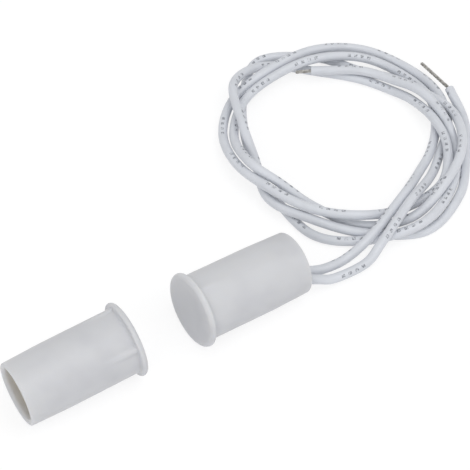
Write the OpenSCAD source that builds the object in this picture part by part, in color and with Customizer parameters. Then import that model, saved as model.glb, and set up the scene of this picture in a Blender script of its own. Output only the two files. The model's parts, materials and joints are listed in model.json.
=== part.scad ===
// Recessed magnetic contact: a reed switch half and a magnet half, each pressed into a drilled hole,
// lying on their sides face to face, with the switch's two leads in a loose coil.

/* [Housings] */
// Diameter of the barrel, the size of the hole that it is pressed into
barrel_d = 9.5; // [9:0.1:10.5]
// Length of the barrel behind the flange
barrel_len = 16.4; // [15:0.1:20]
// Diameter at the open end, where the barrel tapers for an easy start in the hole
tip_d = 9.2; // [8.9:0.1:9.4]
// Length of the tapered stretch at the open end
taper_len = 5.8; // [3:0.1:6]
// Diameter of the flange
flange_d = 10.9; // [10.8:0.1:12.5]
// Thickness of the flange
flange_t = 0.9; // [0.8:0.1:1.4]
// Radius of the rounded edges of the flange and the open end
edge_r = 0.3; // [0.15:0.05:0.35]
// Radius of the flare between the flange and the barrel
flare_r = 0.35; // [0.1:0.05:0.35]
// Diameter of the bore
bore_d = 7.4; // [7.2:0.1:7.8]
// Thickness of the face that closes the bore
face_t = 1; // [0.8:0.1:1.4]
// Depth of the dish in the face
dish_depth = 0.4; // [0.1:0.05:0.5]
// Diameter of the flat floor of the dish
dish_flat_d = 4; // [3:0.1:7]

/* [Wedge ribs] */
// Number of wedge ribs that grip the hole
rib_count = 4; // [3:1:6]
// Length of a rib along the barrel
rib_len = 5.4; // [3:0.1:6]
// Height of a rib where it meets the flange
rib_h = 0.55; // [0.2:0.05:0.6]
// Width of a rib
rib_w = 0.8; // [0.5:0.1:1.2]
// Turn of the ribs round the switch half, as it lies
switch_rib_turn = 10; // [0:1:89]
// Turn of the ribs round the magnet half, as it lies
magnet_rib_turn = 32; // [0:1:89]

/* [Magnet] */
// Diameter of the magnet
magnet_d = 7.2; // [6:0.1:7.2]
// Length of the magnet
magnet_len = 6; // [4:0.1:7]
// Bevel round the magnet's ends
magnet_bevel = 0.3; // [0.1:0.05:0.5]
// Thickness of the glue over the magnet, at the middle of its hollow surface
glue_t = 0.8; // [0.5:0.1:1.5]
// Height that the glue creeps up the bore wall
glue_creep = 0.6; // [0.2:0.1:1]

/* [Reed switch] */
// Diameter of the glass tube
glass_d = 1.9; // [1.8:0.1:2]
// Length of the glass tube
glass_len = 9.4; // [9:0.1:10]
// Wall of the glass tube
glass_wall = 0.22; // [0.15:0.01:0.25]
// Length of the solid seal at each end of the glass
seal_len = 1; // [0.8:0.1:1.3]
// Space between the face and the bend of the returning wire
bend_clear = 0.1; // [0.05:0.05:0.3]
// Straight wire between that bend and the glass
bend_to_glass = 0.3; // [0.1:0.05:0.5]
// Diameter of the blades' round wire
wire_d = 0.5; // [0.4:0.05:0.55]
// Width of a flattened blade
blade_w = 0.8; // [0.7:0.05:0.9]
// Thickness of a flattened blade
blade_t = 0.15; // [0.1:0.01:0.18]
// Open gap between the two blades
blade_gap = 0.1; // [0.05:0.01:0.15]
// Length over which the blades overlap
blade_lap = 0.8; // [0.4:0.1:1.2]
// Diameter of the sleeve on the returning wire
sleeve_d = 0.84; // [0.7:0.01:0.84]

/* [Joints and potting] */
// Length of a solder joint
solder_len = 1.4; // [1:0.1:1.6]
// Diameter of a solder joint
solder_d = 1.1; // [1.05:0.01:1.1]
// Depth of the potting below the open end
potting_recess = 0.3; // [0.1:0.1:0.6]
// Space between the back of the glass and the potting
potting_clear = 0.3; // [0.2:0.1:0.5]

/* [Leads] */
// Diameter of a lead over its insulation
lead_d = 1.4; // [1.2:0.05:1.4]
// Diameter of the stranded conductor
core_d = 0.48; // [0.4:0.01:0.5]
// Length of insulation inside the potting
lead_grip = 2.4; // [2:0.1:2.8]
// Bare conductor inside the potting
tail_len = 2; // [1.8:0.1:2.2]

/* [Layout] */
// Space between the two faces as the halves lie
face_gap = 9.2; // [4:0.1:12]
// Step by which the halves lie out of line
side_step = 0.7; // [0:0.1:2]
// Angle by which the magnet half lies askew
magnet_yaw = 2.4; // [0:0.1:4]

/* [Hidden] */
$fn = 64;
// Segments in a rounded edge's quarter, and in the dish's wall
arc_steps = 6;
dish_steps = 10;
// How far shapes that are joined reach into each other
bite = 0.2;
// How far a straight wire reaches into its bend, and how much thicker the wire is in the bend
bend_lap = 0.05;
bend_swell = 0.02;
// Solder between a wire and the lead's conductor beside it, and past the wire's end
solder_film = 0.03;
solder_past = 0.3;

barrel_r = barrel_d / 2;
tip_r = tip_d / 2;
flange_r = flange_d / 2;
bore_r = bore_d / 2;
total_len = flange_t + barrel_len;

// A half lies on its flange and its open end, so its axis slopes down towards the open end
slope = atan((flange_r - tip_r) / (total_len - flange_t));
lie_h = (flange_t - edge_r) * sin(slope) + (flange_r - edge_r) * cos(slope) + edge_r;
half_reach = reach(0);
magnet_reach = reach(magnet_yaw);

// The two housings are centred over the origin
switch_x = (face_gap + magnet_reach - half_reach) / 2;
magnet_x = switch_x - face_gap;
switch_y = -side_step / 2;
magnet_y = side_step / 2;

// The reed switch and its wires, across the bore (x sideways, y upwards) and along it from the face
reed = [-0.7, -0.9];
back_wire = [-2, -1.5];
joint_pitch = (wire_d + core_d) / 2 + solder_film;
lead_a_at = [reed.x, reed.y - joint_pitch];
lead_b_at = [back_wire.x, back_wire.y - joint_pitch];
bend_r = norm(reed - back_wire) / 2;
bend_z = face_t + bend_clear + wire_d / 2 + bend_r;
glass_z0 = bend_z + bend_to_glass;
glass_z1 = glass_z0 + glass_len;
blade_mid = (glass_z0 + glass_z1) / 2;
potting_z0 = glass_z1 + potting_clear;
potting_z1 = total_len - potting_recess;
lead_z0 = potting_z1 - lead_grip;
tail_z0 = lead_z0 - tail_len;
solder_z0 = lead_z0 - solder_len - (tail_len - solder_len) / 2;
wire_end = solder_z0 + solder_len - solder_past;
sleeve_end = tail_z0 - 0.1;
// How far each lead runs straight on out of the potting
straight_out = 0.6;

// The leads' routes over the floor, from the foot of the switch half's face: each lead drops to the
// floor, climbs over the coil, and goes round it more than twice, through the crossings of the real one
route_a = [
    [20, -1, 2], [22, -1.5, 1.8], [25.5, -1.5, 1.7], [30, -1, 3.1], [38.5, 2.5, 3.6], [44, 6, 1.9],
    [48.5, 9, 1.2], [52.5, 13, 1], [55.5, 18.5, 0.8], [55, 25, 0.8], [51.5, 30.5, 1.7],
    [45, 33, 3.1], [38.5, 34, 2.7], [31, 32.5, 2.3], [25.5, 27.5, 2], [23, 20, 4.4],
    [25, 14.5, 3.2], [27, 8.5, 2.3], [31.5, 3, 0.7], [38, -0.5, 1.8], [45.5, 1.5, 3.1],
    [51.5, 5.5, 3.6], [55.5, 12.5, 2.3], [54.5, 18.5, 2.3], [53.5, 24.5, 0.8], [50, 29, 0.9],
    [46, 35.5, 0.7], [38, 39.5, 0.9], [31.5, 34, 0.7], [27.5, 27.5, 0.8], [25.5, 22, 0.7],
    [24, 15, 0.8], [24.5, 5.5, 0.7], [30, 0, 1.2], [37.5, -3, 2.9], [45.5, 0.5, 1.8], [51, 6, 1.3],
    [53.5, 12, 2.5], [53.5, 18, 3.4], [52, 23.5, 2.4], [49, 28, 2.3], [42.9, 32.1, 2.2]
];
route_b = [
    [19.5, -3, 2.4], [22, -3.5, 1.5], [27, -4, 2], [30.5, -3, 3.4], [38, 0.5, 4.2], [45, 4.5, 1.7],
    [49.5, 8, 1], [54.5, 12.5, 0.7], [57, 18.5, 1.1], [56.5, 25.5, 0.9], [53, 32.5, 1.1],
    [46, 35.5, 2.4], [38, 35.5, 2.8], [30, 34, 2], [24.5, 29, 1.6], [22, 21.5, 2.9], [23, 14, 3.6],
    [26, 7.5, 3.4], [31.5, 3, 2.9], [38.5, 2, 1.1], [45.5, 2.5, 1.6], [50, 7, 2.6],
    [52, 12.5, 2.6], [52.5, 18.5, 1.6], [51.5, 23, 0.8], [49, 27.5, 0.8], [45, 32, 0.8],
    [38, 37.5, 1.5], [30.5, 35, 3.9], [27, 27.5, 3.6], [25, 21, 2.3], [22.5, 14, 2],
    [25, 7.5, 2.2], [30.5, 1.5, 1.1], [38.5, -3, 0.7], [46.5, -0.5, 1.1], [52, 5, 0.7],
    [56.5, 11, 1.1], [58.4, 17.3, 2]
];
// The far tips of the bare conductors
tip_a = [41, 33.5, 1.8];
tip_b = [59, 25, 0.9];

// How far a half reaches from its face, along the line of the pair, when it lies askew by a yaw
function reach(yaw) = total_len * cos(slope) * cos(yaw)
    + (tip_r - edge_r) * norm([sin(slope) * cos(yaw), sin(yaw)]);

// Points on an arc about c, for outlines
function arc(c, r, from, to, n = arc_steps) =
    [for (i = [0:n]) let (a = from + (to - from) * i / n) c + r * [cos(a), sin(a)]];

// A place in the switch half, given across its bore and along its axis, as it lies
function in_switch(at, z) = [
    switch_x + z * cos(slope) + at.y * sin(slope),
    switch_y + at.x,
    lie_h - z * sin(slope) + at.y * cos(slope)
];

function lead_path(at, route) = concat(
    [in_switch(at, lead_z0), in_switch(at, potting_z1 + straight_out)],
    [for (p = route) p + [switch_x, switch_y, 0]]
);

function unit(v) = v / norm(v);

// The direction of a path at its point i, halfway between its two stretches, and at its end the
// direction of the bare conductor that goes on from there
function heading(path, i, onward) =
    i == 0 ? unit(path[1] - path[0])
    : i == len(path) - 1 ? unit(onward)
    : unit(unit(path[i] - path[i - 1]) + unit(path[i + 1] - path[i]));

// The dish's wall, which leaves the flat floor and reaches the rim without a corner
function dish_wall(from, to) =
    [for (i = [0:dish_steps - 1]) let (t = i / dish_steps)
        [from + (to - from) * t, dish_depth * (1 + cos(180 * t)) / 2]];

// Outline of a half: face with its dish, flange, flare, barrel, tapered end, and the bore
function half_outline() = concat(
    [[0, dish_depth]],
    dish_wall(dish_flat_d / 2, flange_r - edge_r),
    arc([flange_r - edge_r, edge_r], edge_r, -90, 0),
    arc([flange_r - edge_r, flange_t - edge_r], edge_r, 0, 90),
    arc([barrel_r + flare_r, flange_t + flare_r], flare_r, 270, 180),
    [[barrel_r, total_len - taper_len]],
    arc([tip_r - edge_r, total_len - edge_r], edge_r, 0, 90),
    [[bore_r, total_len], [bore_r, face_t], [0, face_t]]
);

module half(rib_turn) {
    rotate_extrude() polygon(half_outline());
    for (i = [0:rib_count - 1])
        rotate(rib_turn + i * 360 / rib_count) wedge_rib();
}

// A wedge that rises from the barrel towards the flange
module wedge_rib() {
    translate([0, rib_w / 2, 0])
        rotate([90, 0, 0])
            linear_extrude(rib_w)
                polygon([
                    [barrel_r - bite, flange_t - bite],
                    [barrel_r + rib_h, flange_t - bite],
                    [barrel_r + rib_h, flange_t],
                    [barrel_r, flange_t + rib_len],
                    [barrel_r - bite, flange_t + rib_len]
                ]);
}

// Turns a half's own frame, with its axis along z, to how it lies
module lie_switch() {
    translate([switch_x, switch_y, lie_h]) rotate([0, slope, 0]) rotate([90, 0, 90]) children();
}

module lie_magnet() {
    translate([magnet_x, magnet_y, lie_h])
        rotate([0, 0, 180 - magnet_yaw])
            rotate([0, slope, 0])
                rotate([90, 0, 90])
                    children();
}

// A round rod along the bore
module rod(at, z0, z1, d) {
    translate([at.x, at.y, z0]) cylinder(h = z1 - z0, d = d);
}

module switch_housing() {
    color("gainsboro") lie_switch() half(switch_rib_turn);
}

module magnet_housing() {
    color("gainsboro") lie_magnet() half(magnet_rib_turn);
}

// Glass tube with rounded ends, sealed round each blade's wire
module reed_glass() {
    glass_r = glass_d / 2;
    inner_r = glass_r - glass_wall;
    round_r = glass_r / 2;
    color("lightcyan")
        lie_switch()
            translate([reed.x, reed.y, 0])
                difference() {
                    rotate_extrude()
                        polygon(concat(
                            [[0, glass_z0]],
                            arc([glass_r - round_r, glass_z0 + round_r], round_r, -90, 0),
                            arc([glass_r - round_r, glass_z1 - round_r], round_r, 0, 90),
                            [[0, glass_z1]]
                        ));
                    rod([0, 0], glass_z0 + seal_len, glass_z1 - seal_len, 2 * inner_r);
                    rod([0, 0], glass_z0 - bite, glass_z1 + bite, wire_d);
                }
}

// A flattened blade that stands off the tube's middle by half the gap; side is 1 or -1
module blade(z0, z1, side) {
    low = side > 0 ? blade_gap / 2 : -blade_gap / 2 - blade_t;
    translate([-blade_w / 2, low, z0]) cube([blade_w, blade_t, z1 - z0]);
}

// The blade next to the face, whose wire turns back along the glass
module blade_front() {
    aim = atan2(back_wire.y - reed.y, back_wire.x - reed.x);
    color("silver")
        lie_switch() {
            translate([reed.x, reed.y, 0]) {
                rod([0, 0], bend_z - bend_lap, glass_z0 + seal_len + bite, wire_d);
                blade(glass_z0 + seal_len, blade_mid + blade_lap / 2, 1);
                rotate(aim)
                    translate([bend_r, 0, bend_z])
                        rotate([90, 0, 0])
                            rotate([0, 0, 180])
                                rotate_extrude(angle = 180)
                                    translate([bend_r, 0]) circle(d = wire_d + bend_swell);
            }
            rod(back_wire, bend_z - bend_lap, wire_end, wire_d);
        }
}

module blade_rear() {
    color("silver")
        lie_switch()
            translate([reed.x, reed.y, 0]) {
                blade(blade_mid - blade_lap / 2, glass_z1 - seal_len, -1);
                rod([0, 0], glass_z1 - seal_len - bite, wire_end, wire_d);
            }
}

// Sleeve that keeps the returning wire off the glass
module wire_sleeve() {
    color("white")
        lie_switch()
            difference() {
                rod(back_wire, glass_z0, sleeve_end, sleeve_d);
                rod(back_wire, glass_z0 - bite, sleeve_end + bite, wire_d);
            }
}

// The room that a solder joint takes up
module solder_room(wire_at, lead_at) {
    mid = (wire_at + lead_at) / 2;
    bevel = solder_d / 5;
    translate([mid.x, mid.y, solder_z0])
        rotate_extrude()
            polygon([
                [0, 0], [solder_d / 2 - bevel, 0], [solder_d / 2, bevel],
                [solder_d / 2, solder_len - bevel], [solder_d / 2 - bevel, solder_len], [0, solder_len]
            ]);
}

module solder(wire_at, lead_at) {
    color("silver")
        lie_switch()
            difference() {
                solder_room(wire_at, lead_at);
                rod(wire_at, solder_z0 - bite, wire_end, wire_d);
                rod(lead_at, solder_z0 - bite, lead_z0, core_d);
            }
}

module solder_a() {
    solder(reed, lead_a_at);
}

module solder_b() {
    solder(back_wire, lead_b_at);
}

// Bare conductor inside the potting, from the end of the insulation into its solder joint
module tail(at) {
    color("silver") lie_switch() rod(at, tail_z0, lead_z0, core_d);
}

module tail_a() {
    tail(lead_a_at);
}

module tail_b() {
    tail(lead_b_at);
}

// Potting that fills the end of the bore round the wires, their joints and the leads
module potting() {
    color("lightgrey")
        lie_switch()
            difference() {
                rod([0, 0], potting_z0, potting_z1, bore_d);
                rod(reed, potting_z0 - bite, wire_end, wire_d);
                rod(back_wire, potting_z0 - bite, wire_end, wire_d);
                rod(back_wire, potting_z0 - bite, sleeve_end, sleeve_d);
                solder_room(reed, lead_a_at);
                solder_room(back_wire, lead_b_at);
                for (at = [lead_a_at, lead_b_at]) {
                    rod(at, tail_z0, lead_z0 + bite, core_d);
                    rod(at, lead_z0, potting_z1 + bite, lead_d);
                }
            }
}

// Eight-sided tube swept along a path, with one ring at each point
module tube(path, onward, r, sides = 8) {
    count = len(path);
    rings = [for (i = [0:count - 1])
        let (t = heading(path, i, onward), side = unit(cross(t, [0, 0, 1])), up = cross(side, t))
        for (j = [0:sides - 1])
            path[i] + r * (cos(j * 360 / sides) * side + sin(j * 360 / sides) * up)];
    walls = [for (i = [0:count - 2]) for (j = [0:sides - 1])
        let (k = (j + 1) % sides, a = i * sides, b = a + sides)
        each [[a + j, a + k, b + k], [a + j, b + k, b + j]]];
    ends = [
        [for (j = [0:sides - 1]) sides - 1 - j],
        [for (j = [0:sides - 1]) (count - 1) * sides + j]
    ];
    polyhedron(points = rings, faces = concat(walls, ends));
}

// A straight rod between two points
module rod_between(p, q, d) {
    v = q - p;
    translate(p)
        rotate([0, acos(v.z / norm(v)), atan2(v.y, v.x)])
            cylinder(h = norm(v), d = d);
}

// An insulated lead, from inside the potting to where its insulation is stripped
module lead(at, route, tip) {
    color("whitesmoke") tube(lead_path(at, route), tip - route[len(route) - 1], lead_d / 2);
}

// The bare conductor past the end of a lead's insulation
module bare_end(route, tip) {
    color("silver")
        translate([switch_x, switch_y, 0])
            rod_between(route[len(route) - 1], tip, core_d);
}

module lead_a() {
    lead(lead_a_at, route_a, tip_a);
}

module lead_b() {
    lead(lead_b_at, route_b, tip_b);
}

module bare_end_a() {
    bare_end(route_a, tip_a);
}

module bare_end_b() {
    bare_end(route_b, tip_b);
}

// Magnet against the inside of the face
module magnet() {
    r = magnet_d / 2;
    color("dimgray")
        lie_magnet()
            translate([0, 0, face_t])
                rotate_extrude()
                    polygon([
                        [0, 0], [r - magnet_bevel, 0], [r, magnet_bevel],
                        [r, magnet_len - magnet_bevel], [r - magnet_bevel, magnet_len], [0, magnet_len]
                    ]);
}

// Glue over the magnet, hollow in the middle where it creeps up the wall
module magnet_glue() {
    z0 = face_t + magnet_len;
    color("wheat")
        lie_magnet()
            rotate_extrude()
                polygon([
                    [0, z0], [bore_r, z0], [bore_r, z0 + glue_t + glue_creep],
                    [bore_r * 0.85, z0 + glue_t + glue_creep / 4], [bore_r * 0.6, z0 + glue_t], [0, z0 + glue_t]
                ]);
}

switch_housing();
reed_glass();
blade_front();
blade_rear();
wire_sleeve();
solder_a();
solder_b();
tail_a();
tail_b();
potting();
lead_a();
lead_b();
bare_end_a();
bare_end_b();
magnet_housing();
magnet();
magnet_glue();
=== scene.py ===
"""Dresses the recessed magnetic contact: two moulded halves, what fills them and two leads.

Sizes are in millimetres and are turned to metres by MM where a mesh is made.
"""

import json
import logging
import math
from collections.abc import Callable, Iterable, Sequence
from dataclasses import dataclass, field, replace
from enum import Enum

import bmesh
import bpy
from mathutils import Matrix, Vector


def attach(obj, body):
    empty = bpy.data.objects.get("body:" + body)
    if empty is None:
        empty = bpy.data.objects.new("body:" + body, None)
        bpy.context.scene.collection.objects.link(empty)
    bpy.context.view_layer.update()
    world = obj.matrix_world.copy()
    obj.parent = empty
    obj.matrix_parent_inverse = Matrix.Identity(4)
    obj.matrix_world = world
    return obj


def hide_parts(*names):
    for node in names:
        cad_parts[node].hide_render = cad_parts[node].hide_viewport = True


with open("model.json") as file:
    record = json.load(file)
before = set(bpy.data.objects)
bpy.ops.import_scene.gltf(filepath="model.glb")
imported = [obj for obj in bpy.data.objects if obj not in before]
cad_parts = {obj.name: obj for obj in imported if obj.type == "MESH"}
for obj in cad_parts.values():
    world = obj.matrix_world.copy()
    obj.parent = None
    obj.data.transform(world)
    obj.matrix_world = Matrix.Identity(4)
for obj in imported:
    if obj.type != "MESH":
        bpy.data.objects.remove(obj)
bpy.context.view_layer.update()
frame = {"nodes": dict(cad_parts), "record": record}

MM = 0.001
BODY = "root"
LOG = logging.getLogger("contact")
WHITE = (1.0, 1.0, 1.0, 1.0)
# How far off a size a vertex may lie and still count as on it, in millimetres
SLACK = 0.01
# Vertices nearer than this become one, in millimetres
MERGE = 1e-5
# Where a noise starts and stops turning one colour into the other
CLOUDY = (0.35, 0.7)

Colour = tuple[float, float, float]
Point = tuple[float, float, float]
FlatPoint = tuple[float, float]
Outline = list[FlatPoint]


class Slot(Enum):
    """The record's material slots."""

    HOUSING = "housing"
    LEAD = "lead"
    CONDUCTOR = "conductor"
    POTTING = "potting"
    GLASS = "glass"
    BLADE = "blade"
    SLEEVE = "sleeve"
    SOLDER = "solder"
    MAGNET = "magnet"
    GLUE = "glue"


class Signal:
    """A shader socket that arithmetic can be written with."""

    def __init__(self, sheet: "Sheet", socket: bpy.types.NodeSocket) -> None:
        """Keeps the socket and the sheet that it is on."""
        self.sheet = sheet
        self.socket = socket

    def math(self, operation: str, first: "Signal | float", second: "Signal | float") -> "Signal":
        """Adds one Math node.

        Args:
            operation: The Math node's operation.
            first: What goes into its first socket.
            second: What goes into its second socket.

        Returns:
            The node's result.
        """
        return self.sheet.node("ShaderNodeMath", {"operation": operation}, {0: first, 1: second})

    def __add__(self, other: "Signal | float") -> "Signal":
        """Sum of two values."""
        return self.math("ADD", self, other)

    def __radd__(self, other: "Signal | float") -> "Signal":
        """Sum of two values, with the number first."""
        return self.math("ADD", other, self)

    def __mul__(self, other: "Signal | float") -> "Signal":
        """Product of two values."""
        return self.math("MULTIPLY", self, other)

    def __rmul__(self, other: "Signal | float") -> "Signal":
        """Product of two values, with the number first."""
        return self.math("MULTIPLY", other, self)

    def __truediv__(self, other: "Signal | float") -> "Signal":
        """Quotient of two values."""
        return self.math("DIVIDE", self, other)

    def __mod__(self, other: "Signal | float") -> "Signal":
        """Rest of a division, never below zero."""
        return self.math("FLOORED_MODULO", self, other)

    def __gt__(self, other: "Signal | float") -> "Signal":
        """1 where this is the greater, and 0 elsewhere."""
        return self.math("GREATER_THAN", self, other)

    def __lt__(self, other: "Signal | float") -> "Signal":
        """1 where this is the smaller, and 0 elsewhere."""
        return self.math("LESS_THAN", self, other)

    def eased(self, low: float, high: float, start: float = 0.0, end: float = 1.0) -> "Signal":
        """Moves smoothly between two values as this one goes through a range.

        Args:
            low: Where the range starts.
            high: Where the range ends.
            start: The result below the range.
            end: The result above the range.

        Returns:
            The eased value.
        """
        return self.sheet.node(
            "ShaderNodeMapRange",
            {"interpolation_type": "SMOOTHSTEP"},
            {"Value": self, "From Min": low, "From Max": high, "To Min": start, "To Max": end},
        )

    def about(self, middle: float, spread: float) -> "Signal":
        """Moves a noise so that it lies about a middle value.

        Args:
            middle: The result where the noise is halfway.
            spread: How far the results at 0 and at 1 lie apart.

        Returns:
            The moved noise.
        """
        return self * spread + (middle - spread / 2)


class Sheet:
    """The nodes of one material, or of the world."""

    def __init__(self, owner: bpy.types.Material | bpy.types.World) -> None:
        """Starts with no nodes.

        Args:
            owner: The material or the world.
        """
        self.owner = owner
        self.owner.use_nodes = True
        self.tree = self.owner.node_tree
        self.tree.nodes.clear()

    def add(
        self,
        kind: str,
        settings: dict[str, object] | None = None,
        inputs: dict[str | int, object] | None = None,
    ) -> bpy.types.Node:
        """Adds a node, sets it up and links it.

        Args:
            kind: The node's type.
            settings: The node's own properties.
            inputs: Values or signals for its sockets, by name or number.

        Returns:
            The node.
        """
        made = self.tree.nodes.new(kind)
        for name, value in (settings or {}).items():
            setattr(made, name, value)
        for key, value in (inputs or {}).items():
            if isinstance(value, Signal):
                self.tree.links.new(value.socket, made.inputs[key])
            else:
                made.inputs[key].default_value = value
        return made

    def node(
        self,
        kind: str,
        settings: dict[str, object] | None = None,
        inputs: dict[str | int, object] | None = None,
        output: str | int = 0,
    ) -> Signal:
        """Adds a node and takes one of its outputs.

        Args:
            kind: The node's type.
            settings: The node's own properties.
            inputs: Values or signals for its sockets, by name or number.
            output: Which of its outputs is wanted.

        Returns:
            The wanted output.
        """
        return Signal(self, self.add(kind, settings, inputs).outputs[output])

    def coords(self) -> Signal:
        """The place on the piece, in metres."""
        return self.node("ShaderNodeTexCoord", output="Object")

    def attribute(self, name: str) -> Signal:
        """A number that the piece's mesh carries."""
        return self.node("ShaderNodeAttribute", {"attribute_name": name}, output="Fac")

    def noise(self, per_metre: float, detail: float = 3.0) -> Signal:
        """Noise over the piece.

        Args:
            per_metre: How many times the noise repeats in a metre.
            detail: Octaves of finer noise.

        Returns:
            The noise, from 0 to 1.
        """
        sockets = {"Vector": self.coords(), "Scale": per_metre, "Detail": detail}
        return self.node("ShaderNodeTexNoise", inputs=sockets, output="Fac")

    def mix(self, share: Signal, first: "Signal | Colour", second: "Signal | Colour") -> Signal:
        """Mixes two colours.

        Args:
            share: How much of the second colour, from 0 to 1.
            first: The colour at 0.
            second: The colour at 1.

        Returns:
            The mixed colour.
        """
        ends = [c if isinstance(c, Signal) else (*c, 1.0) for c in (first, second)]
        # The Mix node's colours are its sockets 6 and 7, and the mixed colour its output 2
        sockets = {0: share, 6: ends[0], 7: ends[1]}
        return self.node("ShaderNodeMix", {"data_type": "RGBA"}, sockets, output=2)

    def bump(self, height: Signal, depth: float) -> Signal:
        """Turns a height into a normal.

        Args:
            height: The height, from 0 to 1.
            depth: How far 1 stands over 0, in millimetres.

        Returns:
            The bumped normal.
        """
        sockets = {"Strength": 1.0, "Distance": depth * MM, "Height": height}
        return self.node("ShaderNodeBump", inputs=sockets, output="Normal")

    def seen(self) -> Signal:
        """1 for what the camera sees, mirrored or let through too, and 0 for light on things."""
        rays = ("Is Camera Ray", "Is Glossy Ray", "Is Transmission Ray")
        return sum(self.node("ShaderNodeLightPath", output=ray) for ray in rays) > 0.5

    def finish(self, inputs: dict[str, object]) -> bpy.types.Material:
        """Puts a Principled shader on the surface.

        Args:
            inputs: Values or signals for the shader's sockets.

        Returns:
            The finished material.
        """
        return self.close(self.node("ShaderNodeBsdfPrincipled", inputs=inputs, output="BSDF"))

    def close(self, surface: Signal) -> bpy.types.Material | bpy.types.World:
        """Sends a shader to the output.

        Args:
            surface: The shader.

        Returns:
            The material or the world.
        """
        kind = "World" if isinstance(self.owner, bpy.types.World) else "Material"
        self.add(f"ShaderNodeOutput{kind}", inputs={"Surface": surface})
        return self.owner


def blank(name: str) -> Sheet:
    """Starts a material with no nodes."""
    return Sheet(bpy.data.materials.new(name))


def tone(red: int, green: int, blue: int) -> Colour:
    """Turns a screen's colour, from 0 to 255, to a shader's linear values by the sRGB curve."""
    shares = [step / 255 for step in (red, green, blue)]
    return tuple(s / 12.92 if s <= 0.04045 else ((s + 0.055) / 1.055) ** 2.4 for s in shares)


@dataclass(frozen=True)
class MouldedPlastic:
    """White moulded plastic that lets a little light in, with painted warm shade inside the bore.
    """

    name: str = "moulded_plastic"
    colour: Colour = tone(207, 208, 211)
    cloud: Colour = tone(200, 201, 205)
    # Painted warm shade for the bore's wall, standing in for the shade and bounced light inside
    # the bore
    inside: Colour = tone(214, 206, 190)
    cloud_scale: float = 160.0
    roughness: float = 0.42
    roughness_spread: float = 0.1
    roughness_scale: float = 420.0
    specular: float = 0.4
    scatter: float = 0.5
    scatter_colour: Colour = (1.0, 0.95, 0.85)
    scatter_mm: float = 1.3
    grain_mm: float = 0.012
    grain_scale: float = 900.0
    sparkle_scale: float = 2600.0
    sparkle_share: float = 0.3

    def build(self) -> bpy.types.Material:
        """Makes the material."""
        sheet = blank(self.name)
        clouds = sheet.noise(self.cloud_scale, detail=2.0).eased(*CLOUDY)
        skin = sheet.mix(clouds, self.colour, self.cloud)
        dulled = sheet.noise(self.roughness_scale)
        grain = sheet.noise(self.grain_scale, detail=4.0) * (1.0 - self.sparkle_share)
        sparkle = sheet.noise(self.sparkle_scale, detail=2.0) * self.sparkle_share
        return sheet.finish({
            # Painted warm shade is mixed in where the mesh's inside attribute marks the bore's
            # wall
            "Base Color": sheet.mix(sheet.attribute("inside"), skin, self.inside),
            "Roughness": dulled.about(self.roughness, self.roughness_spread),
            "Subsurface Weight": self.scatter,
            "Subsurface Radius": self.scatter_colour,
            "Subsurface Scale": self.scatter_mm * MM,
            "Specular IOR Level": self.specular,
            "Normal": sheet.bump(grain + sparkle, self.grain_mm),
        })


@dataclass(frozen=True)
class Insulation:
    """Soft white wire insulation with a row of plain printed dashes, worn in places."""

    name: str = "wire_insulation"
    colour: Colour = tone(214, 217, 223)
    cloud: Colour = tone(208, 211, 217)
    ink: Colour = tone(108, 112, 120)
    dash_pitch: float = 1.1
    dash_share: float = 0.5
    dashes: int = 4
    pause: int = 4
    band: float = 0.94
    band_edge: float = 0.02
    wear_scale: float = 3600.0
    wear: tuple[float, float] = (0.38, 0.62)
    ink_left: tuple[float, float] = (0.1, 0.85)
    cloud_scale: float = 300.0
    roughness: float = 0.38
    roughness_spread: float = 0.12
    roughness_scale: float = 700.0
    scatter: float = 0.15
    scatter_colour: Colour = (1.0, 1.0, 0.95)
    scatter_mm: float = 0.4
    grain_mm: float = 0.006
    grain_scale: float = 1500.0

    def build(self) -> bpy.types.Material:
        """Makes the material."""
        sheet = blank(self.name)
        along = sheet.attribute("along") / (self.dash_pitch * MM)
        facing = sheet.attribute("facing")
        in_dash = (along % 1.0) < self.dash_share
        in_group = (along % float(self.dashes + self.pause)) < float(self.dashes)
        in_band = facing.eased(self.band - self.band_edge, self.band + self.band_edge)
        worn = sheet.noise(self.wear_scale, detail=2.0).eased(*self.wear, *self.ink_left)
        print_mask = in_dash * in_group * in_band * worn
        clouds = sheet.noise(self.cloud_scale, detail=2.0).eased(*CLOUDY)
        skin = sheet.mix(clouds, self.colour, self.cloud)
        dulled = sheet.noise(self.roughness_scale, detail=2.0)
        return sheet.finish({
            "Base Color": sheet.mix(print_mask, skin, self.ink),
            "Roughness": dulled.about(self.roughness, self.roughness_spread),
            "Subsurface Weight": self.scatter,
            "Subsurface Radius": self.scatter_colour,
            "Subsurface Scale": self.scatter_mm * MM,
            "Normal": sheet.bump(sheet.noise(self.grain_scale), self.grain_mm),
        })


@dataclass(frozen=True)
class TinnedStrand:
    """Tinned copper strand, dulled, with fine drawing marks."""

    name: str
    colour: Colour = tone(188, 186, 182)
    dull: Colour = tone(138, 135, 130)
    patch_scale: float = 1800.0
    patch_edge: tuple[float, float] = (0.38, 0.68)
    roughness: float = 0.38
    roughness_spread: float = 0.2
    grain_mm: float = 0.004
    grain_scale: float = 6000.0

    def build(self) -> bpy.types.Material:
        """Makes the material."""
        sheet = blank(self.name)
        patches = sheet.noise(self.patch_scale)
        return sheet.finish({
            "Base Color": sheet.mix(patches.eased(*self.patch_edge), self.colour, self.dull),
            "Metallic": 1.0,
            "Roughness": patches.about(self.roughness, self.roughness_spread),
            "Normal": sheet.bump(sheet.noise(self.grain_scale, detail=2.0), self.grain_mm),
        })


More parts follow.
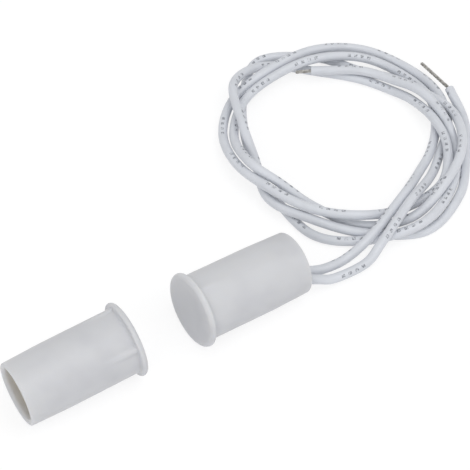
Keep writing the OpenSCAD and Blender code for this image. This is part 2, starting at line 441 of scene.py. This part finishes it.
@dataclass(frozen=True)
class CastFill:
    """A filling that was poured and set: glossy, with faint ripples and clouds."""

    name: str
    colour: Colour
    cloud: Colour
    roughness: float = 0.25
    roughness_spread: float = 0.2
    cloud_scale: float = 500.0
    coat: float = 0.3
    coat_roughness: float = 0.15
    ripple_mm: float = 0.05
    ripple_scale: float = 350.0

    def build(self) -> bpy.types.Material:
        """Makes the material."""
        sheet = blank(self.name)
        clouds = sheet.noise(self.cloud_scale, detail=4.0)
        return sheet.finish({
            "Base Color": sheet.mix(clouds.eased(*CLOUDY), self.colour, self.cloud),
            "Roughness": clouds.about(self.roughness, self.roughness_spread),
            "Coat Weight": self.coat,
            "Coat Roughness": self.coat_roughness,
            "Normal": sheet.bump(sheet.noise(self.ripple_scale, detail=2.0), self.ripple_mm),
        })


@dataclass(frozen=True)
class Plain:
    """A finish for the pieces inside: mottled colour and roughness with a fine grain."""

    name: str
    colour: Colour
    mottle: Colour
    metallic: float = 0.0
    roughness: float = 0.4
    grain_mm: float = 0.01
    grain_scale: float = 4000.0
    mottle_scale: float = 1200.0
    mottle_edge: tuple[float, float] = (0.3, 0.7)
    roughness_spread: float = 0.2

    def build(self) -> bpy.types.Material:
        """Makes the material."""
        sheet = blank(self.name)
        patches = sheet.noise(self.mottle_scale)
        return sheet.finish({
            "Base Color": sheet.mix(patches.eased(*self.mottle_edge), self.colour, self.mottle),
            "Metallic": self.metallic,
            "Roughness": patches.about(self.roughness, self.roughness_spread),
            "Normal": sheet.bump(sheet.noise(self.grain_scale), self.grain_mm),
        })


@dataclass(frozen=True)
class ReedGlass:
    """Clear greenish glass of the reed switch's tube."""

    name: str = "reed_glass"
    colour: Colour = tone(214, 232, 226)
    transmission: float = 0.9
    ior: float = 1.5
    roughness: float = 0.045
    roughness_spread: float = 0.05
    roughness_scale: float = 900.0
    ripple_mm: float = 0.01
    ripple_scale: float = 500.0

    def build(self) -> bpy.types.Material:
        """Makes the material."""
        sheet = blank(self.name)
        dulled = sheet.noise(self.roughness_scale)
        return sheet.finish({
            "Base Color": (*self.colour, 1.0),
            "Roughness": dulled.about(self.roughness, self.roughness_spread),
            "Transmission Weight": self.transmission,
            "IOR": self.ior,
            "Normal": sheet.bump(sheet.noise(self.ripple_scale), self.ripple_mm),
        })


def steps_to_one(count: int) -> list[float]:
    """Evenly spaced shares from 0 to 1, both among them."""
    return [i / count for i in range(count + 1)]


def arc(centre: FlatPoint, radius: float, start: float, end: float, steps: int = 8) -> Outline:
    """Points on an arc, for an outline.

    Args:
        centre: The arc's centre.
        radius: Its radius.
        start: The angle that it starts at, in degrees.
        end: The angle that it ends at, in degrees.
        steps: How many stretches it has.

    Returns:
        The points from start to end.
    """
    angles = [math.radians(start + (end - start) * t) for t in steps_to_one(steps)]
    return [(centre[0] + radius * math.cos(a), centre[1] + radius * math.sin(a)) for a in angles]


def line(start: FlatPoint, end: FlatPoint, step: float) -> Outline:
    """Evenly spaced points between two points, without those two.

    Args:
        start: Where the line starts.
        end: Where it ends.
        step: The most that two points lie apart.

    Returns:
        The points between.
    """
    count = max(1, math.ceil(math.dist(start, end) / step))
    return [
        (start[0] + (end[0] - start[0]) * i / count, start[1] + (end[1] - start[1]) * i / count)
        for i in range(1, count)
    ]


def revolved(outline: Outline, steps: int) -> bmesh.types.BMesh:
    """Spins an outline that starts and ends on the axis into a closed shell.

    Args:
        outline: Radius and height of each point, in millimetres.
        steps: How many stretches the full turn has.

    Returns:
        The shell, in millimetres, about the z axis.
    """
    bm = bmesh.new()
    verts = [bm.verts.new((radius, 0.0, height)) for radius, height in outline]
    edges = [bm.edges.new(pair) for pair in zip(verts, verts[1:])]
    bmesh.ops.spin(
        bm,
        geom=verts + edges,
        cent=(0, 0, 0),
        axis=(0, 0, 1),
        angle=math.tau,
        steps=steps,
        use_merge=True,
    )
    bmesh.ops.remove_doubles(bm, verts=bm.verts, dist=MERGE)
    bmesh.ops.recalc_face_normals(bm, faces=bm.faces)
    return bm


@dataclass(frozen=True)
class Station:
    """One ring of a swept tube: its place, its way and its radius, in millimetres."""

    place: Vector
    turn: Matrix
    radius: float
    along: float

    def matrix(self) -> Matrix:
        """Takes a ring of radius 1 in the xy plane to its place."""
        return Matrix.Translation(self.place) @ self.turn.to_4x4() @ Matrix.Scale(self.radius, 4)


def smooth_path(points: Sequence[Vector], step: float) -> list[Vector]:
    """Runs one smooth curve through all points.

    Args:
        points: The points that it goes through.
        step: About how far its samples lie apart.

    Returns:
        The samples, from the first point to the last.
    """
    ends = [2 * points[0] - points[1], *points, 2 * points[-1] - points[-2]]
    path = []
    for before, start, end, after in zip(ends, ends[1:], ends[2:], ends[3:]):
        count = max(2, round((end - start).length / step))
        for i in range(count):
            t = i / count
            path.append(0.5 * (
                2 * start
                + (end - before) * t
                + (2 * before - 5 * start + 4 * end - after) * t**2
                + (3 * start - before - 3 * end + after) * t**3
            ))
    return [*path, points[-1].copy()]


def stations(path: Sequence[Vector], radius: float, first_side: Vector) -> list[Station]:
    """Sets a ring at each point of a path, turned no more than the path itself turns.

    Args:
        path: The tube's centreline.
        radius: The tube's radius.
        first_side: Which side of the first ring is its x side.

    Returns:
        One station for each point.
    """
    rings = []
    side = first_side
    along = 0.0
    for i, place in enumerate(path):
        way = (path[min(i + 1, len(path) - 1)] - path[max(i - 1, 0)]).normalized()
        side = (side - way * side.dot(way)).normalized()
        if i > 0:
            along += (place - path[i - 1]).length
        turn = Matrix((side, way.cross(side), way)).transposed()
        rings.append(Station(place, turn, radius, along))
    return rings


def swept(
    bm: bmesh.types.BMesh,
    rings: Sequence[Station],
    sides: int,
    mark: Callable[[Station, Vector, bmesh.types.BMVert], None] | None = None,
) -> None:
    """Sweeps a closed tube through its stations, by extruding one ring after another.

    Args:
        bm: The mesh that the tube is added to.
        rings: The stations.
        sides: How many sides the tube has.
        mark: Called with each station, a place on its unit ring and the vertex there.
    """
    first = rings[0].matrix()
    loop = bmesh.ops.create_circle(bm, cap_ends=True, segments=sides, radius=1.0, matrix=first)
    verts = loop["verts"]
    edges = [e for e in bm.edges if set(e.verts) <= set(verts)]
    for i, ring in enumerate(rings):
        if i > 0:
            grown = bmesh.ops.extrude_edge_only(bm, edges=edges)["geom"]
            verts = [g for g in grown if isinstance(g, bmesh.types.BMVert)]
            fresh = set(verts)
            lines = (g for g in grown if isinstance(g, bmesh.types.BMEdge))
            edges = [e for e in lines if set(e.verts) <= fresh]
            shift = ring.matrix() @ rings[i - 1].matrix().inverted()
            bmesh.ops.transform(bm, matrix=shift, verts=verts)
        if mark:
            back = ring.matrix().inverted()
            for vert in verts:
                mark(ring, back @ vert.co, vert)
    bmesh.ops.contextual_create(bm, geom=edges)


def add_piece(
    bm: bmesh.types.BMesh,
    name: str,
    place: Matrix,
    material: bpy.types.Material,
    slot: Slot,
    stands_for: Iterable[str],
    sharp_angle: float = 50.0,
) -> bpy.types.Object:
    """Turns a finished bmesh in millimetres into a piece that rides on the object.

    Args:
        bm: The mesh, which is used up.
        name: The piece's name.
        place: Takes the mesh to its place in the row frame, still in millimetres.
        material: The piece's finish.
        slot: The record's material slot.
        stands_for: The solids that the piece replaces.
        sharp_angle: Edges that turn more than this stay sharp, in degrees.

    Returns:
        The piece.
    """
    bmesh.ops.transform(bm, matrix=Matrix.Scale(MM, 4) @ place, verts=bm.verts)
    bmesh.ops.recalc_face_normals(bm, faces=bm.faces)
    for face in bm.faces:
        face.smooth = True
    for edge in bm.edges:
        edge.smooth = edge.calc_face_angle(0.0) < math.radians(sharp_angle)
    mesh = bpy.data.meshes.new(name)
    bm.to_mesh(mesh)
    bm.free()
    mesh.materials.append(material)
    piece = bpy.data.objects.new(name, mesh)
    bpy.context.scene.collection.objects.link(piece)
    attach(piece, BODY)
    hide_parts(*stands_for)
    LOG.info("%s: %d faces, %s", name, len(mesh.polygons), slot.value)
    return piece


def dress_node(node: str, material: bpy.types.Material) -> None:
    """Gives a solid of the frame, which keeps its shape, its finish.

    Args:
        node: The solid's name.
        material: The finish.
    """
    mesh = frame["nodes"][node].data
    mesh.materials.clear()
    mesh.materials.append(material)
    LOG.info("%s: dressed as %s", node, material.name)


@dataclass(frozen=True)
class Half:
    """A moulded housing: dished face, flange, flare, wedge ribs, tapered barrel and bore.

    The mount on the face lies dish_depth deep, on the solid's dish. The dressed dish is
    bowl_depth deep.
    """

    name: str
    face_mount: str
    rib_turn: float
    rib_h: float
    barrel_r: float = 4.75
    tip_r: float = 4.6
    flange_r: float = 5.45
    flange_t: float = 0.9
    total_len: float = 17.3
    taper_len: float = 5.8
    edge_r: float = 0.3
    front_r: float = 0.58
    flare_r: float = 0.35
    lip_r: float = 0.6
    bore_r: float = 3.7
    face_t: float = 1.0
    dish_depth: float = 0.4
    bowl_depth: float = 0.62
    rib_count: int = 4
    rib_len: float = 5.4
    rib_w: float = 0.8
    rib_shoulder: float = 0.6
    # How far into the bore the painted shade takes to reach full strength, from the open end
    shade_fade_len: float = 2.4
    turn_steps: int = 240
    dish_steps: int = 30
    ring_step: float = 0.3
    taper_step: float = 1.0
    bore_step: float = 0.5
    sharp_angle: float = 35.0

    def place(self) -> Matrix:
        """Where the half lies, from the frame's own mount on its face.

        Returns:
            Takes the half's own frame to its place. In that frame the face's rim lies in the
            plane z 0 and the barrel runs along z.
        """
        mount = next(m for m in frame["record"]["mounts"] if m["name"] == self.face_mount)
        away = -Vector(mount["axis"]).normalized()
        rim = Vector(mount["pos_m"]) / MM - away * self.dish_depth
        across = Vector((0, 0, 1)).cross(away).normalized()
        turn = Matrix((across, away.cross(across), away)).transposed()
        return Matrix.Translation(rim) @ turn.to_4x4()

    def foot(self) -> Vector:
        """The point of the floor under the middle of the face's rim, in millimetres."""
        rim = self.place().translation
        return Vector((rim.x, rim.y, 0.0))

    def dish(self) -> Outline:
        """The face's hollow, from its middle to the rim."""
        rim_r = self.flange_r - self.front_r
        return [(rim_r * t, self.bowl_depth * (1 - t * t)) for t in steps_to_one(self.dish_steps)]

    def outline(self) -> Outline:
        """The outline from the middle of the face round to the middle of the bore's floor."""
        edge, front, curve, lip_r = self.edge_r, self.front_r, self.flare_r, self.lip_r
        flange = arc((self.flange_r - front, front), front, -90, 0)[1:]
        flange += arc((self.flange_r - edge, self.flange_t - edge), edge, 0, 90)
        flare = arc((self.barrel_r + curve, self.flange_t + curve), curve, 270, 180)
        taper = (self.barrel_r, self.total_len - self.taper_len)
        end = arc((self.tip_r - edge, self.total_len - edge), edge, 0, 90)
        lip = arc((self.bore_r + lip_r, self.total_len - lip_r), lip_r, 90, 180)
        floor = [(self.bore_r, self.face_t), (0.0, self.face_t)]
        return (
            self.dish()
            + flange
            + line(flange[-1], flare[0], self.ring_step)
            + flare
            + line(flare[-1], taper, self.ring_step)
            + [taper]
            + line(taper, end[0], self.taper_step)
            + end
            + lip
            + line(lip[-1], floor[0], self.bore_step)
            + floor
        )

    def rib_height(self, angle: float, height: float) -> float:
        """How far the ribs stand off the barrel at a place on it.

        Args:
            angle: The angle round the barrel, in radians.
            height: The distance from the face.

        Returns:
            The rib's height there, or 0 between ribs.
        """
        pitch = math.tau / self.rib_count
        turned = angle - math.radians(self.rib_turn)
        off = abs((turned + pitch / 2) % pitch - pitch / 2) * self.barrel_r
        side = min(1.0, max(0.0, ((self.rib_w + self.rib_shoulder) / 2 - off) / self.rib_shoulder))
        eased = side * side * (3 - 2 * side)
        fall = 1 - (height - self.flange_t) / self.rib_len
        return self.rib_h * max(0.0, fall) * eased

    def build(self, material: bpy.types.Material) -> bpy.types.Object:
        """Makes the housing.

        Args:
            material: The moulded plastic.

        Returns:
            The piece.
        """
        bm = revolved(self.outline(), self.turn_steps)
        inside = bm.verts.layers.float.new("inside")
        rib_from, rib_to = self.barrel_r - SLACK, self.flange_r - self.edge_r
        for vert in bm.verts:
            radius, height = math.hypot(vert.co.x, vert.co.y), vert.co.z
            # Painted shade: the inside layer grows from 0 at the open end to 1 deeper in the bore
            if radius < self.bore_r + self.lip_r / 2 and height > self.face_t - SLACK:
                vert[inside] = min(1.0, (self.total_len - height) / self.shade_fade_len)
            if rib_from < radius < rib_to and height > self.flange_t - SLACK:
                stands = self.barrel_r + self.rib_height(math.atan2(vert.co.y, vert.co.x), height)
                grown = max(radius, stands) / radius
                vert.co.x *= grown
                vert.co.y *= grown
        name = f"{self.name}_shell"
        return add_piece(
            bm, name, self.place(), material, Slot.HOUSING, [self.name], self.sharp_angle
        )


@dataclass(frozen=True)
class Potting:
    """The filling in the switch half's open end, crept up the wall and the leads."""

    half: Half
    leads_at: tuple[FlatPoint, ...]
    bottom: float = 12.1
    top: float = 17.0
    lead_r: float = 0.7
    wall_creep: float = 0.22
    lead_creep: float = 0.35
    reach: float = 0.45
    rings: int = 30
    turn_steps: int = 96

    def build(self, material: bpy.types.Material) -> bpy.types.Object:
        """Makes the filling.

        Args:
            material: The potting's finish.

        Returns:
            The piece.
        """
        edge = self.half.bore_r
        surface = [(edge * t, self.top) for t in steps_to_one(self.rings)]
        bm = revolved([*surface, (edge, self.bottom), (0.0, self.bottom)], self.turn_steps)
        for vert in bm.verts:
            if vert.co.z > self.top - SLACK:
                from_wall = edge - math.hypot(vert.co.x, vert.co.y)
                lift = self.wall_creep * math.exp(-from_wall / self.reach)
                for x, y in self.leads_at:
                    gap = max(0.0, math.hypot(vert.co.x - x, vert.co.y - y) - self.lead_r)
                    lift += self.lead_creep * math.exp(-gap / self.reach)
                vert.co.z += lift
        place = self.half.place()
        return add_piece(bm, "potting_fill", place, material, Slot.POTTING, ["potting"])


@dataclass(frozen=True)
class GluedMagnet:
    """The magnet in its bore and the glue over it, which creeps up the wall."""

    half: Half
    magnet_len: float = 6.0
    glue_t: float = 0.8
    creep: float = 0.6
    creep_power: int = 6
    rings: int = 24
    turn_steps: int = 96

    def build(self, glue: bpy.types.Material, magnet: bpy.types.Material) -> bpy.types.Object:
        """Makes the glue and dresses the magnet.

        Args:
            glue: The glue's finish.
            magnet: The magnet's finish.

        Returns:
            The glue's piece.
        """
        dress_node("magnet", magnet)
        bottom = self.half.face_t + self.magnet_len
        edge = self.half.bore_r
        top = bottom + self.glue_t
        shares = steps_to_one(self.rings)
        surface = [(edge * t, top + self.creep * t**self.creep_power) for t in shares]
        bm = revolved([*surface, (edge, bottom), (0.0, bottom)], self.turn_steps)
        place = self.half.place()
        return add_piece(bm, "magnet_glue_fill", place, glue, Slot.GLUE, ["magnet_glue"])


@dataclass(frozen=True)
class Lead:
    """An insulated lead from inside the potting to its stripped end, and its bare conductor.

    starts, exits and straight_to are heights in the half's own frame. cut_rim and cut_hole are the
    rings of the cut end: how far past the last full ring, and how far in from the rim or out from
    the hole.
    """

    name: str
    at: FlatPoint
    route: Sequence[Point]
    tip: Point
    print_start: float
    print_twist: float
    diameter: float = 1.4
    core_r: float = 0.27
    hole_r: float = 0.3
    hole_depth: float = 0.5
    core_short: float = 0.1
    cut_rim: tuple[FlatPoint, ...] = ((0.03, 0.01), (0.05, 0.05))
    cut_hole: tuple[FlatPoint, ...] = ((0.05, 0.03), (0.02, 0.0))
    starts: float = 14.6
    exits: float = 17.0
    straight_to: float = 17.6
    sides: int = 24
    step: float = 0.7
    round_strands: int = 6
    strand_r: float = 0.09
    strand_sides: int = 8
    strand_pitch: float = 3.2
    strand_step: float = 0.16

    def points(self, half: Half) -> list[Vector]:
        """The points that the lead goes through.

        Args:
            half: The housing that it comes out of.

        Returns:
            The points in the row frame, in millimetres.
        """
        first = [half.place() @ Vector((*self.at, z)) for z in (self.starts, self.straight_to)]
        return first + [Vector(p) + half.foot() for p in self.route]

    def build(
        self, half: Half, insulation: bpy.types.Material, conductor: bpy.types.Material
    ) -> None:
        """Args:
            half: The housing that it comes out of.
            insulation: The insulation's finish.
            conductor: The conductor's finish.
        """
        path = smooth_path(self.points(half), self.step)
        rings = stations(path, self.diameter / 2, Vector((0, 0, 1)))
        bm = bmesh.new()
        along = bm.verts.layers.float.new("along")
        facing = bm.verts.layers.float.new("facing")

        def mark(ring: Station, local: Vector, vert: bmesh.types.BMVert) -> None:
            """Writes where a vertex lies along the lead and how squarely it faces the print."""
            angle = math.atan2(local.y, local.x)
            print_angle = math.radians(self.print_start + self.print_twist * ring.along)
            vert[along] = ring.along * MM
            vert[facing] = math.cos(angle - print_angle)

        swept(bm, [*rings, *self.cut_end(rings[-1])], self.sides, mark)
        name = f"{self.name}_insulation"
        piece = add_piece(bm, name, Matrix(), insulation, Slot.LEAD, [self.name])
        bare = self.build_bare_end(half, path[-1], conductor)
        tuple(half.place() @ Vector((*self.at, self.exits)) * MM)
        rings[-1].along * MM
        [tuple(p * MM) for p in path]
        LOG.info("%s: %.1f mm long", self.name, rings[-1].along)

    def cut_end(self, last: Station) -> list[Station]:
        """The cut face of the insulation and the hole that the conductor comes out of.

        Args:
            last: The lead's last full ring.

        Returns:
            The stations after it.
        """
        way = last.turn.col[2]
        steps = [(run, self.diameter / 2 - inward) for run, inward in self.cut_rim]
        steps += [(run, self.hole_r + outward) for run, outward in self.cut_hole]
        steps += [(-self.hole_depth, self.hole_r)]
        return [replace(last, place=last.place + way * run, radius=r) for run, r in steps]

    def build_bare_end(
        self, half: Half, start: Vector, material: bpy.types.Material
    ) -> bpy.types.Object:
        """Makes the twisted strands past the insulation.

        Args:
            half: The housing that the lead comes out of.
            start: Where the insulation ends.
            material: The conductor's finish.

        Returns:
            The strands, as one piece.
        """
        tip = Vector(self.tip) + half.foot()
        way = (tip - start).normalized()
        side = way.cross(Vector((0, 0, 1))).normalized()
        up = side.cross(way)
        begin = start - way * (self.hole_depth - self.core_short)
        length = (tip - begin).length
        count = max(4, round(length / self.strand_step))
        bm = bmesh.new()
        for strand in range(self.round_strands + 1):
            lay = 0.0 if strand == self.round_strands else self.core_r - self.strand_r
            path = []
            for t in steps_to_one(count):
                run = length * t
                turn = math.tau * (strand / self.round_strands + run / self.strand_pitch)
                out = side * math.cos(turn) + up * math.sin(turn)
                path.append(begin + way * run + out * lay)
            swept(bm, stations(path, self.strand_r, up), self.strand_sides)
        node = self.name.replace("lead", "bare_end")
        return add_piece(bm, f"{node}_strands", Matrix(), material, Slot.CONDUCTOR, [node])


@dataclass(frozen=True)
class ReedSwitch:
    """The reed switch sealed inside the switch half, with its wires and joints."""

    glass: ReedGlass = ReedGlass()
    blade: Plain = Plain("reed_blade", tone(176, 174, 168), tone(150, 148, 142), 1.0, 0.32)
    sleeve: Plain = Plain("wire_sleeve", tone(228, 226, 220), tone(218, 215, 208), 0.0, 0.5)
    solder: Plain = Plain("solder", tone(186, 187, 190), tone(160, 161, 165), 1.0, 0.35, 0.03)
    tail: TinnedStrand = TinnedStrand("bare_tail")

    def build(self) -> None:
        """Dresses the frame's own solids."""
        finishes = {
            self.glass: ["reed_glass"],
            self.blade: ["blade_front", "blade_rear"],
            self.sleeve: ["wire_sleeve"],
            self.solder: ["solder_a", "solder_b"],
            self.tail: ["tail_a", "tail_b"],
        }
        for finish, nodes in finishes.items():
            material = finish.build()
            for node in nodes:
                dress_node(node, material)


@dataclass(frozen=True)
class Lamp:
    """A soft area lamp."""

    name: str
    place: Point
    size: float
    power: float

    def build(self, aim: Vector) -> None:
        """Hangs the lamp and points it.

        Args:
            aim: What it points at, in metres.
        """
        data = bpy.data.lights.new(self.name, "AREA")
        data.shape = "DISK"
        data.size = self.size
        data.energy = self.power
        lamp = bpy.data.objects.new(self.name, data)
        lamp.location = self.place
        lamp.rotation_euler = (aim - Vector(self.place)).to_track_quat("-Z", "Y").to_euler()
        bpy.context.scene.collection.objects.link(lamp)


@dataclass(frozen=True)
class Studio:
    """The camera at the photograph's angle, soft light and a plain pale floor.

    Lengths are in metres, except the lens and aim_from_foot, which are in millimetres, the latter
    from the floor under the middle of the switch half's face. clip is in shares of the distance.
    """

    azimuth: float = -33.657
    elevation: float = 48.727
    distance: float = 0.280
    lens: float = 151.1
    clip: tuple[float, float] = (0.1, 100.0)
    aim_from_foot: Point = (13.5361, 9.2266, 4.0)
    floor_size: float = 3.0
    floor_colour: Colour = tone(246, 246, 247)
    floor_glow: float = 0.75
    glow_strength: float = 1.07
    ambient: float = 0.62
    lamps: tuple[Lamp, ...] = (
        Lamp("overhead", (0.10, -0.24, 0.62), 0.60, 1.5),
        Lamp("camera_side", (-0.50, -0.30, 0.40), 0.40, 0.8),
    )

    def aim(self, half: Half) -> Vector:
        """What the camera looks at, in metres."""
        return (Vector(self.aim_from_foot) + half.foot()) * MM

    def build_camera(self, half: Half) -> None:
        """Sets the camera.

        Args:
            half: The half whose face the aim is measured from.
        """
        turn, rise = math.radians(self.azimuth), math.radians(self.elevation)
        flat = math.cos(rise)
        back = Vector((math.sin(turn) * flat, -math.cos(turn) * flat, math.sin(rise)))
        data = bpy.data.cameras.new("camera")
        data.lens = self.lens
        data.clip_start, data.clip_end = (self.distance * share for share in self.clip)
        camera = bpy.data.objects.new("camera", data)
        camera.location = self.aim(half) + back * self.distance
        camera.rotation_euler = (-back).to_track_quat("-Z", "Y").to_euler()
        bpy.context.scene.collection.objects.link(camera)
        bpy.context.scene.camera = camera

    def build_light(self, half: Half) -> None:
        """Hangs the lamps and sets the even light of the surroundings.

        Args:
            half: The half whose face the aim is measured from.
        """
        for lamp in self.lamps:
            lamp.build(self.aim(half))
        sky = Sheet(bpy.data.worlds.new("surroundings"))
        strength = sky.seen() * (1.0 - self.ambient) + self.ambient
        light = sky.node("ShaderNodeBackground", inputs={"Color": WHITE, "Strength": strength})
        bpy.context.scene.world = sky.close(light)
        bpy.context.scene.view_settings.view_transform = "Standard"

    def build_floor(self) -> None:
        """Lays the floor."""
        bm = bmesh.new()
        bmesh.ops.create_grid(bm, x_segments=1, y_segments=1, size=self.floor_size / 2)
        mesh = bpy.data.meshes.new("floor")
        bm.to_mesh(mesh)
        bm.free()
        sheet = blank("pale_floor")
        paint = sheet.node("ShaderNodeBsdfDiffuse", inputs={"Color": (*self.floor_colour, 1.0)})
        glowing = {"Color": WHITE, "Strength": self.glow_strength}
        glow = sheet.node("ShaderNodeEmission", inputs=glowing)
        share = sheet.seen() * self.floor_glow
        mixed = sheet.node("ShaderNodeMixShader", inputs={0: share, 1: paint, 2: glow})
        mesh.materials.append(sheet.close(mixed))
        floor = bpy.data.objects.new("floor", mesh)
        bpy.context.scene.collection.objects.link(floor)


# The leads' routes and the tips of their bare conductors, as in the part's source, in millimetres
# from the floor under the middle of the switch half's face
ROUTE_A: tuple[Point, ...] = (
    (20, -1, 2), (22, -1.5, 1.8), (25.5, -1.5, 1.7), (30, -1, 3.1), (38.5, 2.5, 3.6),
    (44, 6, 1.9), (48.5, 9, 1.2), (52.5, 13, 1), (55.5, 18.5, 0.8), (55, 25, 0.8),
    (51.5, 30.5, 1.7), (45, 33, 3.1), (38.5, 34, 2.7), (31, 32.5, 2.3), (25.5, 27.5, 2),
    (23, 20, 4.4), (25, 14.5, 3.2), (27, 8.5, 2.3), (31.5, 3, 0.7), (38, -0.5, 1.8),
    (45.5, 1.5, 3.1), (51.5, 5.5, 3.6), (55.5, 12.5, 2.3), (54.5, 18.5, 2.3), (53.5, 24.5, 0.8),
    (50, 29, 0.9), (46, 35.5, 0.7), (38, 39.5, 0.9), (31.5, 34, 0.7), (27.5, 27.5, 0.8),
    (25.5, 22, 0.7), (24, 15, 0.8), (24.5, 5.5, 0.7), (30, 0, 1.2), (37.5, -3, 2.9),
    (45.5, 0.5, 1.8), (51, 6, 1.3), (53.5, 12, 2.5), (53.5, 18, 3.4), (52, 23.5, 2.4),
    (49, 28, 2.3), (42.9, 32.1, 2.2),
)
ROUTE_B: tuple[Point, ...] = (
    (19.5, -3, 2.4), (22, -3.5, 1.5), (27, -4, 2), (30.5, -3, 3.4), (38, 0.5, 4.2),
    (45, 4.5, 1.7), (49.5, 8, 1), (54.5, 12.5, 0.7), (57, 18.5, 1.1), (56.5, 25.5, 0.9),
    (53, 32.5, 1.1), (46, 35.5, 2.4), (38, 35.5, 2.8), (30, 34, 2), (24.5, 29, 1.6),
    (22, 21.5, 2.9), (23, 14, 3.6), (26, 7.5, 3.4), (31.5, 3, 2.9), (38.5, 2, 1.1),
    (45.5, 2.5, 1.6), (50, 7, 2.6), (52, 12.5, 2.6), (52.5, 18.5, 1.6), (51.5, 23, 0.8),
    (49, 27.5, 0.8), (45, 32, 0.8), (38, 37.5, 1.5), (30.5, 35, 3.9), (27, 27.5, 3.6),
    (25, 21, 2.3), (22.5, 14, 2), (25, 7.5, 2.2), (30.5, 1.5, 1.1), (38.5, -3, 0.7),
    (46.5, -0.5, 1.1), (52, 5, 0.7), (56.5, 11, 1.1), (58.4, 17.3, 2),
)
TIP_A: Point = (41, 33.5, 1.8)
TIP_B: Point = (59, 25, 0.9)


@dataclass
class MagneticContact:
    """The whole object."""

    switch: Half = Half("switch_housing", "switch_face", 10.0, 0.15, rib_shoulder=1.0)
    magnet: Half = Half("magnet_housing", "magnet_face", 32.0, 0.32)
    leads: list[Lead] = field(default_factory=lambda: [
        Lead("lead_a", (-0.7, -1.42), ROUTE_A, TIP_A, print_start=-40.0, print_twist=0.27),
        Lead("lead_b", (-2.0, -2.02), ROUTE_B, TIP_B, print_start=45.0, print_twist=-0.33),
    ])

    def build(self) -> None:
        """Builds each piece in order."""
        insulation = Insulation().build()
        conductor = TinnedStrand("tinned_strand").build()
        for lead in self.leads:
            lead.build(self.switch, insulation, conductor)
        plastic = MouldedPlastic().build()
        self.switch.build(plastic)
        self.magnet.build(plastic)
        potting = CastFill("potting", tone(196, 198, 199), tone(184, 186, 187))
        Potting(self.switch, tuple(lead.at for lead in self.leads)).build(potting.build())
        glue = CastFill("magnet_glue", tone(196, 184, 152), tone(180, 168, 136), 0.18)
        dark = Plain("sintered_magnet", tone(62, 62, 65), tone(48, 48, 51), 0.4, 0.55, 0.03)
        GluedMagnet(self.magnet).build(glue.build(), dark.build())
        ReedSwitch().build()


def main() -> None:
    """Sets the camera, then builds the object, the floor and the light."""
    logging.basicConfig(level=logging.INFO, format="%(name)s: %(message)s")
    contact = MagneticContact()
    studio = Studio()
    studio.build_camera(contact.switch)
    contact.build()
    studio.build_floor()
    studio.build_light(contact.switch)


if __name__ == "__main__":
    main()
